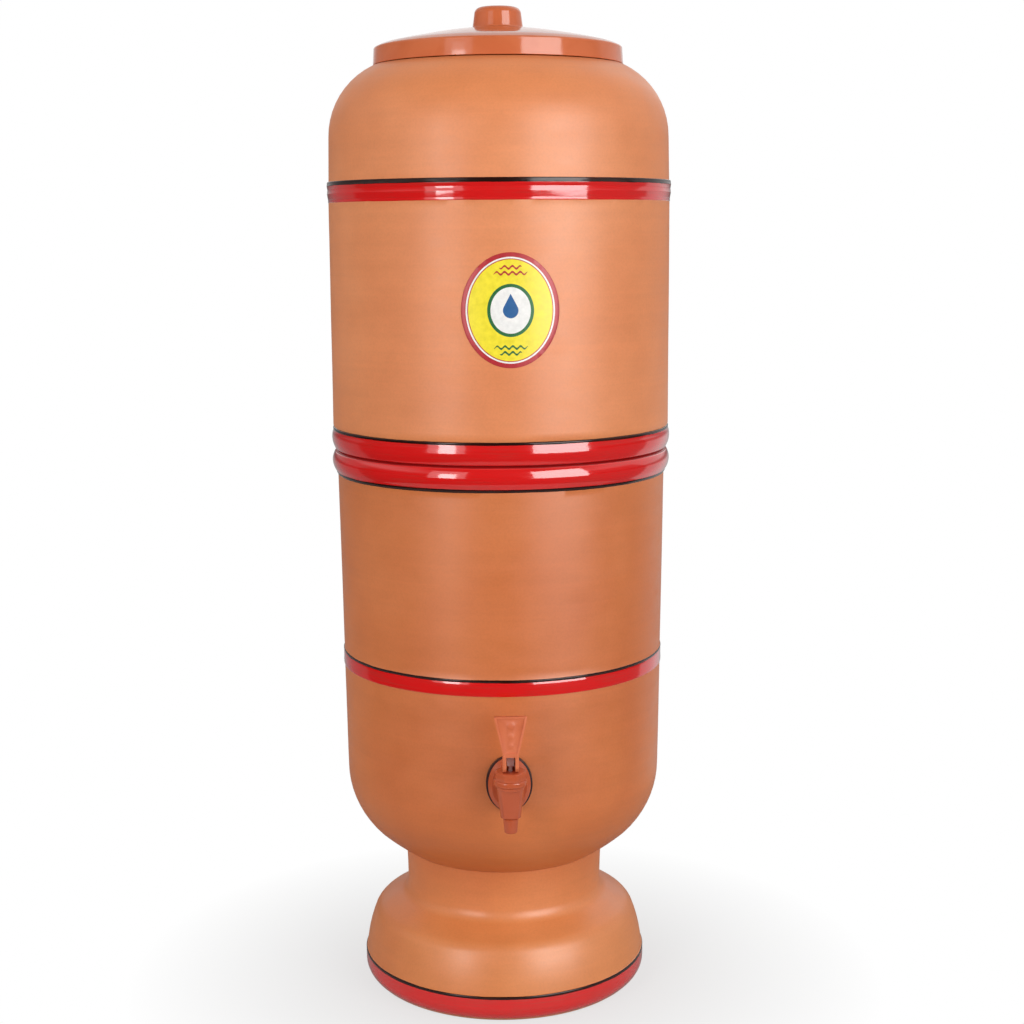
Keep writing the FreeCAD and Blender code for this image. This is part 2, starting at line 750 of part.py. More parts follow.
def make_tap_bonnet():
    """An eight-sided cap screwed on the barrel, rounded off at its top."""
    bottom = s.collar_top + 0.05
    prism = solid("Part::Prism", "bonnet_prism", {"y": -s.tap_reach, "z": bottom, "angle": 22.5},
                  Circumradius=s.bonnet_radius, Height=s.bonnet_top - bottom)
    prism.Polygon = 8
    rounded = turned("bonnet_rounding", [
        (0, bottom),
        (s.bonnet_radius + 0.5, bottom),
        (s.bonnet_radius + 0.2, s.bonnet_top - 1.9),
        (s.bonnet_radius - 1.9, s.bonnet_top, 2.1),
        (0, s.bonnet_top),
    ], y=-s.tap_reach)
    thread = solid("Part::Cylinder", "bonnet_thread", {"y": -s.tap_reach, "z": bottom - 1},
                   Radius=s.barrel_top_radius - 0.25, Height=s.bonnet_top - bottom - 0.7)
    rod_hole = solid("Part::Cylinder", "bonnet_rod_hole", {"y": -s.tap_reach, "z": bottom},
                     Radius=s.rod_radius + s.running_gap, Height=10)
    boolean("Part::Cut", "tap_bonnet",
            boolean("Part::MultiCommon", "bonnet_blank", prism, rounded),
            boolean("Part::MultiFuse", "bonnet_hollow", thread, rod_hole))


def make_tap_stem():
    """A rod with a foot that the seat cup grips and a flat eye for the lever's pin."""
    eye_half_height = 2.3
    foot_bottom = s.valve_seat_height + 1.55
    rod = turned("stem_rod", [
        (0, foot_bottom),
        (s.rod_radius * 2, foot_bottom),
        (s.rod_radius * 2, foot_bottom + 3),
        (s.rod_radius, foot_bottom + 3),
        (s.rod_radius, s.lever_pin_height - eye_half_height + 0.5),
        (0, s.lever_pin_height - eye_half_height + 0.5),
    ], y=-s.tap_reach)
    width = s.stem_head_width
    head = solid("Part::Box", "stem_head",
                 {"x": width * -0.5, "y": -s.tap_reach - eye_half_height,
                  "z": s.lever_pin_height - eye_half_height},
                 Length=width, Width=eye_half_height * 2, Height=eye_half_height)
    crown = solid("Part::Cylinder", "stem_crown",
                  {"x": width * -0.5, "y": -s.tap_reach, "z": s.lever_pin_height,
                   "axis": ALONG_Y, "angle": 90},
                  Radius=eye_half_height, Height=width)
    eye = solid("Part::Cylinder", "stem_eye",
                {"x": -10, "y": -s.tap_reach, "z": s.lever_pin_height, "axis": ALONG_Y, "angle": 90},
                Radius=s.lever_pin_radius + 0.05, Height=20)
    boolean("Part::Cut", "tap_stem",
            boolean("Part::MultiFuse", "stem_blank", rod, head, crown), eye)


def make_seat_cup():
    """The soft cup that closes the outlet: its rim is clamped under the bonnet."""
    bottom = s.valve_seat_height + 0.05
    outside = s.chamber_radius - 0.4
    inside = outside - 1.1
    foot = s.rod_radius * 2 + 0.05
    grip = s.rod_radius + 0.05
    rim_under = s.collar_top + 2.05
    turned("tap_seat_cup", [
        (0, bottom),
        (outside - 1.2, bottom),
        (outside, bottom + 1.2, 1.2),
        (outside, rim_under),
        (outside + 2.8, rim_under),
        (outside + 2.8, rim_under + 1),
        (inside, rim_under + 1),
        (inside, bottom + 7),
        (grip, bottom + 7),
        (grip, bottom + 4.6),
        (foot, bottom + 4.6),
        (foot, bottom + 1.45),
        (0, bottom + 1.45),
    ], y=-s.tap_reach)


def make_lever():
    """Fork, cam and blade. It is drawn about its pin: the cam lifts the pin as the blade comes down.

    The slot for the stem's head is open in front and below, where the stem swings, and closed behind.
    """
    cam_end = 62.0
    nose_up = s.cam_curve * (1 - math.cos(math.radians(cam_end))) - s.cam_drop
    front = s.cam_curve * math.sin(math.radians(cam_end)) + s.cam_start
    lever = new_body("lever_blank", y=-s.tap_reach, z=s.lever_pin_height)
    drawn_pad(lever, "YZ_Plane", [
        (3.6, -s.cam_drop),
        (4.2, 0.6 - s.cam_drop.value, 0.6),
        (4.2, 1.5),
        (s.blade_thickness - front, s.blade_bottom + 5, -11),
        (-front, s.blade_bottom + 5),
        (-front, nose_up),
        (-s.cam_start, -s.cam_drop, s.cam_curve),
    ], s.fork_width, both_ways=True)
    half_fork = s.fork_width * 0.5
    drawn_pad(lever, "XZ_Plane", [
        (-half_fork, s.blade_bottom - 1),
        (half_fork, s.blade_bottom - 1),
        (half_fork, s.blade_bottom),
        (s.blade_half_top, s.blade_top - 0.8),
        (s.blade_half_top - 0.8, s.blade_top, 0.8),
        (-(s.blade_half_top - 0.8), s.blade_top),
        (-s.blade_half_top, s.blade_top - 0.8, 0.8),
        (-half_fork, s.blade_bottom),
    ], s.blade_thickness, away=True, offset=front)
    slot = sketch_on(lever, "YZ_Plane")
    draw_outline(slot, [(-20, -10), (s.slot_back, -10), (s.slot_back, s.slot_top), (-20, s.slot_top)])
    pocket(lever, slot, s.slot_width, both_ways=True)
    pin_hole = sketch_on(lever, "YZ_Plane")
    draw_circle(pin_hole, 0, 0, s.lever_pin_radius + 0.01)
    pocket(lever, pin_hole, s.fork_width * 2, both_ways=True)
    face = sketch_on(lever, "XZ_Plane", front)
    lip = 1.1
    draw_outline(face, [
        (-(half_fork - lip), s.blade_bottom + 1),
        (half_fork - lip, s.blade_bottom + 1),
        (s.blade_half_top - lip - 0.3, s.blade_top - lip),
        (-(s.blade_half_top - lip - 0.3), s.blade_top - lip),
    ])
    recess = 0.45
    pocket(lever, face, recess)
    grips = [(2.8, 0.95, 22.9), (2.5, 0.78, 16.6), (2.1, 0.7, 11.0)]
    studs = [
        solid("Part::Ellipsoid", f"lever_grip_{number}",
              {"y": -s.tap_reach - front + recess + 0.5, "z": s.lever_pin_height + up,
               "axis": ALONG_X, "angle": 90},
              Radius1=rise, Radius2=half, Radius3=half)
        for number, (half, rise, up) in enumerate(grips, start=1)
    ]
    boolean("Part::MultiFuse", "tap_handle", lever, *studs)
    solid("Part::Cylinder", "handle_pin",
          {"x": half_fork * -1, "y": -s.tap_reach, "z": s.lever_pin_height, "axis": ALONG_Y, "angle": 90},
          Radius=s.lever_pin_radius, Height=s.fork_width)


def make_tap_fixings():
    """The rubber washers on both sides of the clay wall follow its round, and a nut clamps them."""
    above_bowl = SIZES["tap_height"] - SIZES["bowl_side_height"]
    outer_slope = WALL_RISE / (SIZES["lower_band_bottom"] - SIZES["bowl_side_height"])
    inner_slope = (SIZES["lower_rim_radius"] - SIZES["lower_radius"]) / (
        SIZES["joint_height"] - RIM_ROUND - SIZES["bowl_side_height"])
    outer_wall = s.lower_radius + outer_slope * above_bowl
    inner_wall = s.lower_radius - s.wall + inner_slope * above_bowl
    gap = 0.05
    outside = upright_cone("wall_outside", outer_wall + gap, outer_slope)
    oval = upright_oval("gasket_oval", s.gasket_half_width, s.gasket_half_height,
                        -s.flange_back, s.tap_height, 8)
    shank_hole = solid("Part::Cylinder", "gasket_shank_hole",
                       {"y": -s.flange_back - 2, "z": s.tap_height, "axis": ALONG_X, "angle": -90},
                       Radius=s.shank_radius + 0.1, Height=20)
    boolean("Part::Cut", "outer_gasket", oval,
            boolean("Part::MultiFuse", "outer_gasket_hollow", outside, shank_hole))

    inside = upright_cone("wall_inside", inner_wall - gap, inner_slope)
    inner_face = inner_wall - s.inner_gasket_thickness
    disc = solid("Part::Cylinder", "inner_gasket_disc",
                 {"y": -(inner_wall + 3), "z": s.tap_height, "axis": ALONG_X, "angle": -90},
                 Radius=s.tap_nut_radius, Height=s.inner_gasket_thickness + 3)
    inner_hole = solid("Part::Cylinder", "inner_gasket_hole",
                       {"y": -s.flange_back, "z": s.tap_height, "axis": ALONG_X, "angle": -90},
                       Radius=s.shank_radius + 0.1, Height=s.flange_back - s.shank_end)
    boolean("Part::Cut", "inner_gasket",
            boolean("Part::MultiCommon", "inner_gasket_blank", disc, inside), inner_hole)

    hexagon = solid("Part::Prism", "tap_nut_hexagon",
                    {"y": -inner_face, "z": s.tap_height, "axis": ALONG_X, "angle": -90},
                    Circumradius=s.tap_nut_radius, Height=s.tap_nut_thickness)
    thread = solid("Part::Cylinder", "tap_nut_thread",
                   {"y": -inner_face - 1, "z": s.tap_height, "axis": ALONG_X, "angle": -90},
                   Radius=s.shank_radius + s.thread_gap, Height=s.tap_nut_thickness + 2)
    boolean("Part::Cut", "tap_nut", hexagon, thread)


def upright_cone(name, radius, slope):
    """A cone about the vessels' axis, of the given radius at the height of the tap's shank."""
    reach = 30
    return turned(name, [
        (0, s.tap_height - reach),
        (radius - slope * reach, s.tap_height - reach),
        (radius + slope * reach, s.tap_height + reach),
        (0, s.tap_height + reach),
    ])


# ---------------------------------------------------------------- document and export

CANDLE_NODES = [f"candle_{number}_{piece}" for number in (1, 2)
                for piece in ("shell", "base", "carbon", "washer", "nut")]
VALVE_NODES = [f"valve_{number}_{piece}" for number in (1, 2)
               for piece in ("housing", "pin", "arm", "seal", "float")]
NODES = [
    "foot", "lower_vessel", "upper_vessel", "front_label", "lid", "lid_ring",
    "tap_body", "tap_bonnet", "tap_stem", "tap_seat_cup", "tap_handle", "handle_pin",
    "outer_gasket", "inner_gasket", "tap_nut",
] + CANDLE_NODES + VALVE_NODES

doc = FreeCAD.newDocument("clay_filter")
s = Sheet(doc, SIZES)
doc.recompute()

make_foot()
make_lower_vessel()
make_upper_vessel()
make_badge()
make_lid()
for number, side in ((1, -1), (2, 1)):
    make_candle(number, s.candle_offset * side)
    make_valve(number, s.candle_offset * side)
make_tap_body()
make_tap_bonnet()
make_tap_stem()
make_seat_cup()
make_lever()
make_tap_fixings()
doc.recompute()

for thing in doc.Objects:
    if "Invalid" in thing.State or "Error" in thing.State:
        raise RuntimeError(f"{thing.Name} failed: {thing.State}")

os.makedirs("parts", exist_ok=True)
for node in NODES:
    thing = doc.getObject(node)
    thing.Label = node
    shape = thing.Shape
    if shape.isNull() or not shape.isValid() or len(shape.Solids) != 1:
        raise RuntimeError(f"{node} is not one sound solid")
    shape.exportStep(f"parts/{node}.step")
    print(f"{node:20s} {shape.Volume / 1000:10.2f} cm3")
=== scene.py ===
import math

import bmesh
import bpy
import numpy as np
from mathutils import Matrix, Vector, noise


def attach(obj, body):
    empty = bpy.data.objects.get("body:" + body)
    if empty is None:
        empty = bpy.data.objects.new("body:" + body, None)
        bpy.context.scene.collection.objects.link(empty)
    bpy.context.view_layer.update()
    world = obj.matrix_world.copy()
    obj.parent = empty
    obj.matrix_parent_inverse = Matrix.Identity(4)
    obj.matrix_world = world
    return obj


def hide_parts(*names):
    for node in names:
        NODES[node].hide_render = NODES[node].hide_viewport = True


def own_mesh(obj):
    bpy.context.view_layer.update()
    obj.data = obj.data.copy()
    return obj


# A clay water filter: two turned vessels with glazed bands, a moulded lid, a lever tap, and
# candles and float valves inside. The pieces are measured in millimetres, the studio in metres.

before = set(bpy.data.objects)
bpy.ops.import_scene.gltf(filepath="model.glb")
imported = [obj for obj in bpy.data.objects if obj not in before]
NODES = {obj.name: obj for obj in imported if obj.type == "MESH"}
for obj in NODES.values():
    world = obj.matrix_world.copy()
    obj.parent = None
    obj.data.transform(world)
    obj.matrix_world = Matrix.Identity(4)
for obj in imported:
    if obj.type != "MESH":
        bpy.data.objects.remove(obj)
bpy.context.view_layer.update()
MM = 0.001


# ---------------------------------------------------------------- colours and nodes


def linear(text):
    """A colour written as six hexadecimal digits of sRGB, as linear numbers with alpha."""
    parts = [int(text[i:i + 2], 16) / 255 for i in (0, 2, 4)]
    return tuple(p / 12.92 if p <= 0.04045 else ((p + 0.055) / 1.055) ** 2.4
                 for p in parts) + (1.0,)


def toned(colour, factor, lift=0.0):
    """A linear colour made darker or paler, its alpha kept."""
    return tuple(min(1.0, c * factor + lift) for c in colour[:3]) + (1.0,)


class Nodes:
    """A node tree under construction: a value that is fed to a node may be another's output."""

    # A Mix node has sockets for every kind of value. These are the ones for colours.
    MIX_FIRST, MIX_SECOND, MIX_RESULT = 6, 7, 2

    def __init__(self, tree):
        self.tree = tree

    def add(self, kind, **settings):
        node = self.tree.nodes.new(kind)
        for key, value in settings.items():
            setattr(node, key, value)
        return node

    def feed(self, socket, value):
        if isinstance(value, bpy.types.NodeSocket):
            self.tree.links.new(value, socket)
        else:
            socket.default_value = value

    def filled(self, node, values):
        """The node with its first sockets fed in order."""
        for socket, value in zip(node.inputs, values):
            self.feed(socket, value)
        return node

    def split(self, vector):
        return self.filled(self.add("ShaderNodeSeparateXYZ"), [vector]).outputs

    def ramp(self, value, *stops):
        """Colours or greys between stops of (position, colour)."""
        node = self.filled(self.add("ShaderNodeValToRGB"), [value])
        elements = node.color_ramp.elements
        while len(elements) < len(stops):
            elements.new(0.5)
        for element, (position, colour) in zip(elements, stops):
            element.position = position
            element.color = colour if isinstance(colour, tuple) else (colour,) * 3 + (1.0,)
        return node.outputs["Color"]

    def span(self, value, low, high, to_low, to_high):
        """The value moved from one range to another, and held within it."""
        node = self.add("ShaderNodeMapRange")
        return self.filled(node, (value, low, high, to_low, to_high)).outputs[0]

    def maths(self, operation, *values):
        node = self.add("ShaderNodeMath", operation=operation)
        return self.filled(node, values).outputs[0]

    def mix(self, factor, first, second, blend="MIX"):
        """A mixture of two colours."""
        node = self.add("ShaderNodeMix", data_type="RGBA", blend_type=blend)
        self.feed(node.inputs[0], factor)
        self.feed(node.inputs[self.MIX_FIRST], first)
        self.feed(node.inputs[self.MIX_SECOND], second)
        return node.outputs[self.MIX_RESULT]

    def blend(self, factor, first, second):
        """A mixture of two shaders."""
        return self.filled(self.add("ShaderNodeMixShader"), (factor, first, second)).outputs[0]


class Paint(Nodes):
    """A material under construction. Its patterns lie in the object's own space."""

    def __init__(self, name, **sockets):
        self.material = bpy.data.materials.new(name)
        self.material.use_nodes = True
        super().__init__(self.material.node_tree)
        self.shader = self.tree.nodes["Principled BSDF"]
        self.here = self.add("ShaderNodeTexCoord").outputs["Object"]
        for socket, value in sockets.items():
            self.shader.inputs[socket.replace("_", " ")].default_value = value

    def noise(self, stretch, detail=3.0, roughness=0.55, distortion=0.0):
        """Noise with a scale of its own along x, y and z, in features per metre."""
        mapping = self.add("ShaderNodeMapping")
        self.feed(mapping.inputs["Vector"], self.here)
        self.feed(mapping.inputs["Scale"], stretch)
        texture = self.add("ShaderNodeTexNoise")
        self.feed(texture.inputs["Vector"], mapping.outputs[0])
        self.feed(texture.inputs["Scale"], 1.0)
        self.feed(texture.inputs["Detail"], detail)
        self.feed(texture.inputs["Roughness"], roughness)
        self.feed(texture.inputs["Distortion"], distortion)
        return texture.outputs["Fac"]

    def height(self):
        """Height above the ground in metres."""
        return self.split(self.here)["Z"]

    def shaded(self, factor, colour, pattern, dark, pale):
        """The colour darkened by a pattern: dark and pale are stops of the pattern's ramp."""
        return self.mix(factor, colour, self.ramp(pattern, dark, pale), "MULTIPLY")

    def colour(self, value):
        self.feed(self.shader.inputs["Base Color"], value)

    def rough(self, value):
        self.feed(self.shader.inputs["Roughness"], value)

    def bump(self, height, distance, strength):
        """Relief as deep as the distance, in metres."""
        node = self.add("ShaderNodeBump")
        self.feed(node.inputs["Height"], height)
        self.feed(node.inputs["Distance"], distance)
        self.feed(node.inputs["Strength"], strength)
        self.feed(self.shader.inputs["Normal"], node.outputs[0])


# ---------------------------------------------------------------- materials

# The neck, in metres above the ground, over which the foot's paler colour fades out: partly a
# paler clay, partly painted sheen and floor-bounce light.
FOOT_COLOUR_ENDS = (0.055, 0.09)


def clay(name, low, middle, high, index, rough, foot=None):
    """Turned terracotta: cloudy firing colour, fine lines from the wheel, and a grain."""
    paint = Paint(name, IOR=index)
    clouds = paint.noise((9, 9, 7), detail=3.0)
    lines = paint.noise((4, 4, 430), detail=4.0, roughness=0.7)
    broad_lines = paint.noise((3, 3, 90), detail=2.0)
    grain = paint.noise((800, 800, 800), detail=2.0)
    blotches = paint.noise((60, 60, 130), detail=4.0, roughness=0.6)
    body = paint.ramp(clouds, (0.3, linear(low)), (0.52, linear(middle)), (0.74, linear(high)))
    body = paint.shaded(0.5, body, lines, (0.3, 0.93), (0.7, 1.0))
    body = paint.shaded(0.5, body, broad_lines, (0.3, 0.93), (0.7, 1.0))
    body = paint.shaded(0.5, body, blotches, (0.35, 0.92), (0.65, 1.0))
    body = paint.shaded(0.4, body, grain, (0.32, 0.88), (0.6, 1.0))
    # Near the ground the colour is made paler and less saturated: partly a paler clay, partly
    # painted sheen and light bounced up from the floor.
    if foot:
        near_ground = paint.span(paint.height(), *FOOT_COLOUR_ENDS, 1.0, 0.0)
        body = paint.mix(near_ground, body, paint.mix(1.0, body, foot, "MULTIPLY"))
    paint.colour(body)
    paint.rough(paint.span(blotches, 0.3, 0.7, rough, rough + 0.1))
    relief = paint.maths("ADD", paint.maths("MULTIPLY", lines, 0.8),
                         paint.maths("MULTIPLY", grain, 0.3))
    paint.bump(relief, 0.00009, 0.5)
    return paint.material


def glaze(name, thin, full, rough, relief, index, coat):
    """Brushed glaze: runs round the vessel in fine streaks, thinner here and there."""
    paint = Paint(name, IOR=index, Coat_Weight=coat, Coat_Roughness=0.04)
    streaks = paint.noise((11, 11, 900), detail=3.0, roughness=0.65)
    pools = paint.noise((46, 46, 190), detail=3.0)
    wear = paint.maths("ADD", paint.maths("MULTIPLY", streaks, 0.55),
                       paint.maths("MULTIPLY", pools, 0.45))
    paint.colour(paint.ramp(wear, (0.34, linear(thin)), (0.5, linear(full))))
    paint.rough(paint.span(pools, 0.3, 0.7, rough, rough + 0.08))
    paint.bump(paint.noise((70, 70, 330), detail=2.0), relief, 0.5)
    return paint.material


def moulded(name, shade, colour, rough, relief=0.00005, index=1.5):
    """Injection-moulded plastic: faint flow clouds, a fine skin, and light handling marks."""
    paint = Paint(name, IOR=index)
    flow = paint.noise((38, 38, 52), detail=3.0, distortion=0.6)
    skin = paint.noise((420, 420, 420), detail=2.0)
    marks = paint.noise((30, 30, 240), detail=5.0, roughness=0.7)
    paint.colour(paint.ramp(flow, (0.36, linear(shade)), (0.62, linear(colour))))
    paint.rough(paint.span(marks, 0.35, 0.7, rough, rough + 0.1))
    paint.bump(skin, relief, 0.4)
    return paint.material


def rubber(name, shade, colour, rough):
    """Rubber with a fine skin, dusty here and there."""
    paint = Paint(name)
    dust = paint.noise((170, 170, 170), detail=4.0)
    skin = paint.noise((1300, 1300, 1300), detail=2.0)
    paint.colour(paint.ramp(dust, (0.4, linear(shade)), (0.7, linear(colour))))
    paint.rough(paint.span(dust, 0.3, 0.7, rough, rough + 0.15))
    paint.bump(skin, 0.00006, 0.5)
    return paint.material


def porous(name, shade, colour):
    """White candle ceramic: open pores and faint drying marks."""
    paint = Paint(name)
    marks = paint.noise((14, 14, 60), detail=4.0)
    pores = paint.noise((1500, 1500, 1500), detail=3.0, roughness=0.7)
    body = paint.ramp(marks, (0.3, linear(shade)), (0.65, linear(colour)))
    paint.colour(paint.shaded(0.5, body, pores, (0.3, 0.75), (0.5, 1.0)))
    paint.rough(paint.span(pores, 0.3, 0.7, 0.95, 0.82))
    paint.bump(pores, 0.0002, 0.5)
    return paint.material


def drawn_steel(name, colour, rough):
    """Steel wire with the fine lines of drawing along it."""
    paint = Paint(name, Metallic=1.0)
    lines = paint.noise((60, 2600, 2600), detail=3.0)
    tone = linear(colour)
    paint.colour(paint.ramp(lines, (0.3, toned(tone, 0.8)), (0.7, tone)))
    paint.rough(paint.span(lines, 0.3, 0.7, rough, rough + 0.12))
    paint.bump(lines, 0.00002, 0.4)
    return paint.material


def grains(name):
    """Activated carbon: dark angular grains."""
    paint = Paint(name)
    cells = paint.add("ShaderNodeTexVoronoi")
    paint.feed(cells.inputs["Vector"], paint.here)
    paint.feed(cells.inputs["Scale"], 700.0)
    distance = cells.outputs["Distance"]
    paint.colour(paint.ramp(distance, (0.1, 0.03), (0.7, 0.008)))
    paint.rough(paint.span(distance, 0.0, 0.8, 0.55, 0.8))
    paint.bump(distance, 0.0006, 0.8)
    return paint.material


def printed(name, colour):
    """Ink on a plastic badge, with the grain of screen printing."""
    paint = Paint(name)
    ink = paint.noise((330, 330, 330), detail=3.0)
    tone = linear(colour)
    paint.colour(paint.ramp(ink, (0.3, toned(tone, 0.92)), (0.7, toned(tone, 1.06, 0.004))))
    paint.rough(paint.span(ink, 0.3, 0.7, 0.32, 0.4))
    paint.bump(ink, 0.00002, 0.4)
    return paint.material


# The foot's paler tone stands partly for a paler clay and partly for painted sheen and
# floor-bounce light.
CLAY_LOWER = clay("clay_lower", "d16f39", "d97940", "e0824a", 1.55, 0.34,
                  foot=(1.1, 1.31, 1.48, 1.0))
CLAY_UPPER = clay("clay_upper", "e48650", "eb8f58", "f19964", 1.5, 0.38)
RED_GLAZE = glaze("red_glaze", "cc2822", "dd1413", 0.06, 0.00005, 1.6, 1.0)
# Glaze run into the joint between the beads, painted darker and duller than the bands for the
# shade in the groove.
GROOVE_GLAZE_AND_SHADE = glaze("groove_glaze_and_shade", "7a0d0c", "930c0c", 0.3, 0.00005, 1.35, 0.0)
BLACK_GLAZE = glaze("black_glaze", "3d150a", "240903", 0.12, 0.0004, 1.5, 0.0)
LID_PLASTIC = moulded("lid_plastic", "cc6a40", "d27147", 0.06, 0.00001, 1.52)
TAP_PLASTIC = moulded("tap_plastic", "b9532f", "c25b37", 0.1, 0.00002, 1.65)
LEVER_PLASTIC = moulded("lever_plastic", "d2693f", "d97145", 0.42, 0.00003)
STEM_PLASTIC = moulded("stem_plastic", "cdb9b6", "e0ccc9", 0.2)
BLACK_RUBBER = rubber("black_rubber", "2c0e08", "3d1710", 0.35)
SILICONE = rubber("silicone", "cfc9b8", "ddd9cc", 0.4)
STEEL = drawn_steel("steel_pin", "c4c4c2", 0.25)
CANDLE_CERAMIC = porous("candle_ceramic", "dcd6c6", "f0ece1")
CANDLE_PLASTIC = moulded("candle_plastic", "d9dbd9", "e6e8e6", 0.3)
VALVE_PLASTIC = moulded("valve_plastic", "d6d8d8", "e4e6e6", 0.4)
FLOAT_PLASTIC = moulded("float_plastic", "2f62a8", "3b74bd", 0.3)
CARBON = grains("carbon_grains")
BADGE_INKS = {
    "blue": printed("badge_blue", "1f5f9a"),
    "white": printed("badge_white", "f4f2ee"),
    "green": printed("badge_green", "1d6b38"),
    "yellow": printed("badge_yellow", "f7e325"),
    "crimson": printed("badge_crimson", "b81f2a"),
}


# ---------------------------------------------------------------- meshes

# Faces that meet at more than this many degrees keep a crease: on turned pieces and on mouldings.
TURNED_CREASE = 32
MOULDED_CREASE = 40


def object_of(name, mesh, materials):
    piece = bpy.data.objects.new(name, mesh)
    bpy.context.scene.collection.objects.link(piece)
    for material in materials:
        mesh.materials.append(material)
    return piece


def finish_shading(mesh, crease=TURNED_CREASE):
    mesh.polygons.foreach_set("use_smooth", [True] * len(mesh.polygons))
    mesh.set_sharp_from_angle(angle=math.radians(crease))
    mesh.update()


def mesh_of(name, vertices, faces, material_index=None):
    """A mesh with its faces turned outwards."""
    mesh = bpy.data.meshes.new(name)
    mesh.from_pydata([tuple(v) for v in vertices], [], faces)
    if material_index is not None:
        mesh.polygons.foreach_set("material_index", material_index)
    turned = bmesh.new()
    turned.from_mesh(mesh)
    bmesh.ops.recalc_face_normals(turned, faces=turned.faces)
    turned.to_mesh(mesh)
    turned.free()
    finish_shading(mesh)
    return mesh


def faces_between(first, second):
    """Faces from one ring of corners to another. One of them may be a single corner."""
    faces = []
    around = max(len(first), len(second))
    for here in range(around):
        there = (here + 1) % around
        if len(first) == 1:
            faces.append((first[0], second[here], second[there]))
        elif len(second) == 1:
            faces.append((first[here], second[0], first[there]))
        else:
            faces.append((first[here], second[here], second[there], first[there]))
    return faces


def applied(piece, crease=TURNED_CREASE):
    """The piece with its modifiers made part of its mesh."""
    bpy.context.view_layer.update()
    evaluated = piece.evaluated_get(bpy.context.evaluated_depsgraph_get())
    mesh = bpy.data.meshes.new_from_object(evaluated)
    piece.modifiers.clear()
    piece.data = mesh
    finish_shading(mesh, crease)
    return piece


def settle(piece, body, slot, *nodes):
    """The piece rides on its body and stands for its nodes. The slot is not used."""
    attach(piece, body)
    if nodes:
        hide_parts(*nodes)


# ---------------------------------------------------------------- turned pieces

# A turned piece has this many corners round it. Its outline has no straight step longer than the
# gap and no arc step longer than the other gap or wider than the turn, in degrees, but an arc's
# length alone never asks for more than a certain number of steps.
AROUND = 192
STRAIGHT_GAP = 4.0
ARC_GAP = 5
ARC_TURN = 9
MOST_BY_LENGTH = 24

# A point that is closer to the axis than this lies on it.
ON_AXIS = 1e-6

# How a hand-turned wall wanders: features per millimetre along x, y and z, where along z the
# pattern starts, and how far the wall stands out.
WANDER = ((0.011, 0.011, 0.017, 0.0, 0.14), (0.004, 0.004, 0.33, 7.0, 0.035))

# How the edge of a painted band wanders: features round the vessel, and how far it strays.
BRUSH = ((5.1, 0.2), (23, 0.09))

# Corners round a hole.
HOLE_AROUND = 64


def arc(start, end, radius):
    """Points after start up to end on a short arc: a positive radius turns left."""
    start, end = np.array(start, float), np.array(end, float)
    chord = end - start
    length = np.hypot(*chord)
    rise = math.sqrt(radius ** 2 - length ** 2 / 4)
    left = np.array([-chord[1], chord[0]]) / length
    centre = (start + end) / 2 + left * math.copysign(rise, radius)
    sweep = 2 * math.asin(length / 2 / abs(radius)) * math.copysign(1, radius)
    count = max(2, math.ceil(abs(sweep) / math.radians(ARC_TURN)))
    count = max(count, min(MOST_BY_LENGTH, math.ceil(length / ARC_GAP)))
    arm = start - centre
    angles = np.linspace(0, sweep, count + 1)[1:]
    cos, sin = np.cos(angles), np.sin(angles)
    return np.stack([centre[0] + arm[0] * cos - arm[1] * sin,
                     centre[1] + arm[0] * sin + arm[1] * cos], 1)


def trace(outline):
    """The outline's points, evenly divided, and the name of the paint on the way to each point."""
    points, paints, brush = [], [], None
    before = [step for step in outline if not isinstance(step, str)][-1][:2]
    for step in outline:
        if isinstance(step, str):
            brush = step
            continue
        if len(step) == 3:
            reached = arc(before, step[:2], step[2])
        else:
            on_axis = before[0] == 0 and step[0] == 0
            parts = 1 if on_axis else max(1, math.ceil(math.dist(before, step) / STRAIGHT_GAP))
            share = np.linspace(0, 1, parts + 1)[1:, None]
            reached = np.array(before) * (1 - share) + np.array(step) * share
        points.extend(reached)
        paints.extend([brush] * len(reached))
        before = step[:2]
    return np.array(points), paints


def hand(x, y, z):
    """How far a hand-turned wall stands out at a place."""
    return sum(reach * noise.noise(Vector((x * a, y * b, z * c + start)))
               for a, b, c, start, reach in WANDER)


def lathe(name, outline, paints, turned_by_hand=False):
    """A closed body of revolution: paints are (name, material) in the outline's words."""
    points, brushes = trace(outline)
    count = len(points)
    angles = np.linspace(0, 2 * math.pi, AROUND, endpoint=False)
    vertices, rows = [], []
    for index, (radius, height) in enumerate(points):
        if radius < ON_AXIS:
            rows.append([len(vertices)])
            vertices.append((0, 0, height * MM))
            continue
        rows.append(list(range(len(vertices), len(vertices) + AROUND)))
        along = points[(index + 1) % count] - points[index - 1]
        along = along / (np.hypot(*along) or 1)
        paint_ends = brushes[index] != brushes[(index + 1) % count]
        for angle in angles:
            cos, sin = math.cos(angle), math.sin(angle)
            r, z = radius, height
            if turned_by_hand:
                r = r + hand(radius * cos, radius * sin, height)
            if turned_by_hand and paint_ends:
                drift = sum(reach * noise.noise(Vector((cos * waves, sin * waves, height)))
                            for waves, reach in BRUSH)
                r, z = r + along[0] * drift, z + along[1] * drift
            vertices.append((r * cos * MM, r * sin * MM, z * MM))
    names = [paint for paint, _ in paints]
    faces, which = [], []
    for index, brush in enumerate(brushes):
        here, there = rows[index - 1], rows[index]
        if len(here) == 1 and len(there) == 1:
            continue
        faces.extend(faces_between(here, there))
        which.extend([names.index(brush)] * AROUND)
    materials = [material for _, material in paints]
    return object_of(name, mesh_of(name, vertices, faces, which), materials)


